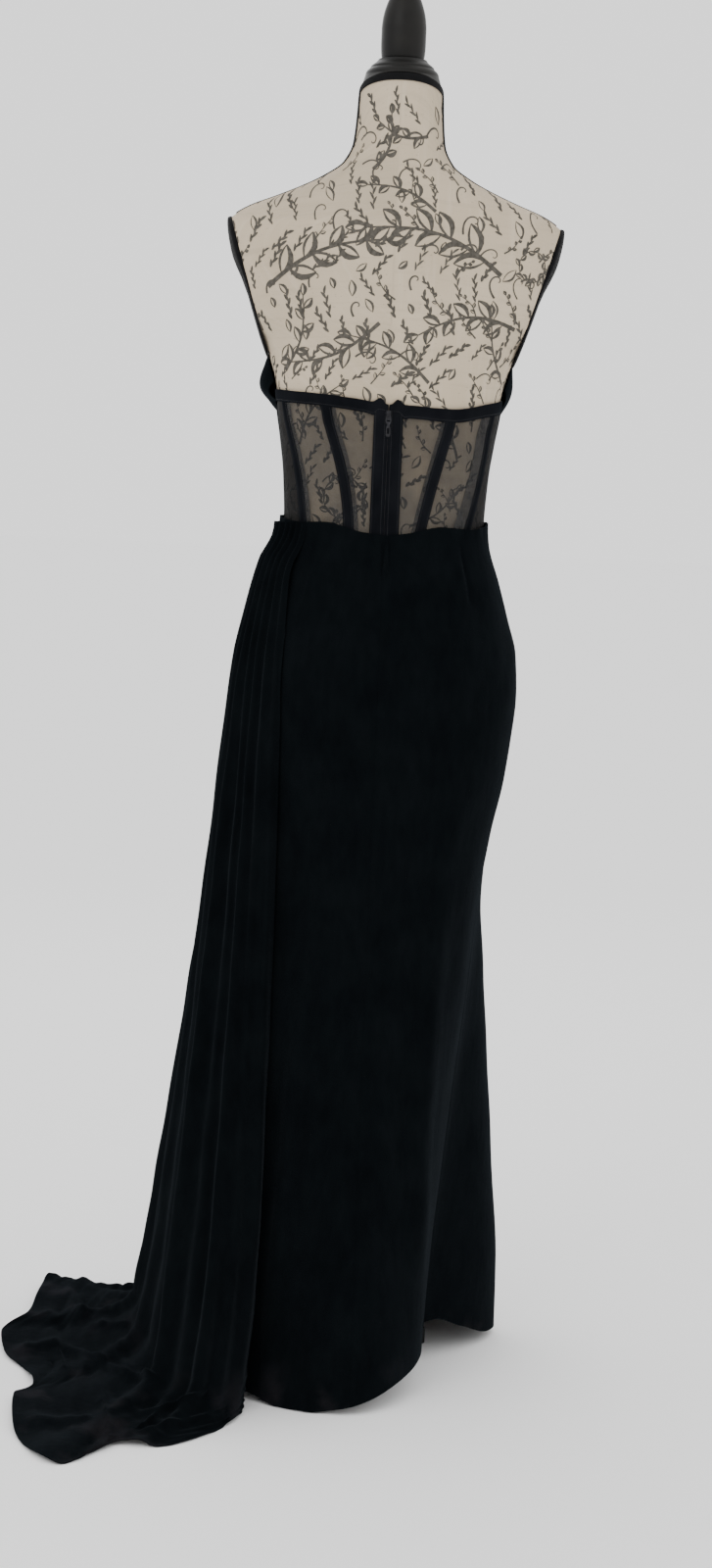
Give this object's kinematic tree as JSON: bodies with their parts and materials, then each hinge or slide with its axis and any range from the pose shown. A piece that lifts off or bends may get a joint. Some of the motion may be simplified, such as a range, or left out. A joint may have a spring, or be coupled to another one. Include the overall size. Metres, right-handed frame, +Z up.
{
  "type": "velvet gown on a dress form",
  "caption": "Strapless evening gown with sheer boned bodice, velvet cups and skirt, and a pleated side drape with a train, worn by a limbless dress form on a low stand.",
  "frame": {"origin": "middle of the stand's hub where it meets the floor", "axes": "+Z up, +Y towards the gown's back, +X towards the wearer's left"},
  "size_m": [0.6354, 0.676, 1.663],
  "materials": {
    "velvet": "deep black velvet with a soft grazing sheen",
    "mesh": "sheer black mesh",
    "trim": "matt black tape and velvet casing",
    "linen": "beige linen with a faded grey print",
    "black_tape": "black twill tape",
    "black_wood": "satin black paint",
    "pole": "satin black",
    "zip_metal": "black enamelled metal"
  },
  "bodies": {
    "gown_and_form": {"bone_back_left": "trim", "bone_back_right": "trim", "bone_centre_front": "trim", "bone_front_left": "trim", "bone_front_right": "trim", "bone_side_back_left": "trim", "bone_side_back_right": "trim", "bone_side_left": "trim", "bone_side_right": "trim", "cup_left": "velvet", "cup_right": "velvet", "form_arm_plate_left": "black_tape", "form_arm_plate_right": "black_tape", "form_cap": "black_wood", "form_finial": "black_wood", "form_neck_tape": "black_tape", "form_shoulder_tape_left": "black_tape", "form_shoulder_tape_right": "black_tape", "form_torso": "linen", "mesh_back_left": "mesh", "mesh_back_right": "mesh", "mesh_front_left": "mesh", "mesh_front_right": "mesh", "mesh_side_back_left": "mesh", "mesh_side_back_right": "mesh", "mesh_side_front_left": "mesh", "mesh_side_front_right": "mesh", "mesh_side_left": "mesh", "mesh_side_right": "mesh", "side_drape": "velvet", "skirt_back_left": "velvet", "skirt_back_right": "velvet", "skirt_front": "velvet", "stand_hub": "black_wood", "stand_leg_1": "black_wood", "stand_leg_2": "black_wood", "stand_leg_3": "black_wood", "stand_pole": "pole", "top_band_left": "trim", "top_band_right": "trim", "zip_band_left": "trim", "zip_band_right": "trim", "zip_slider": "zip_metal"},
    "zip_pull": {"zip_pull": "zip_metal"}
  },
  "joints": [
    {"name": "zip_pull_swing", "type": "hinge", "parent": "gown_and_form", "child": "zip_pull", "pos_m": [0, 0.09003, 1.157], "axis": [1, 0, 0], "range_deg": [0, 150]}
  ]
}
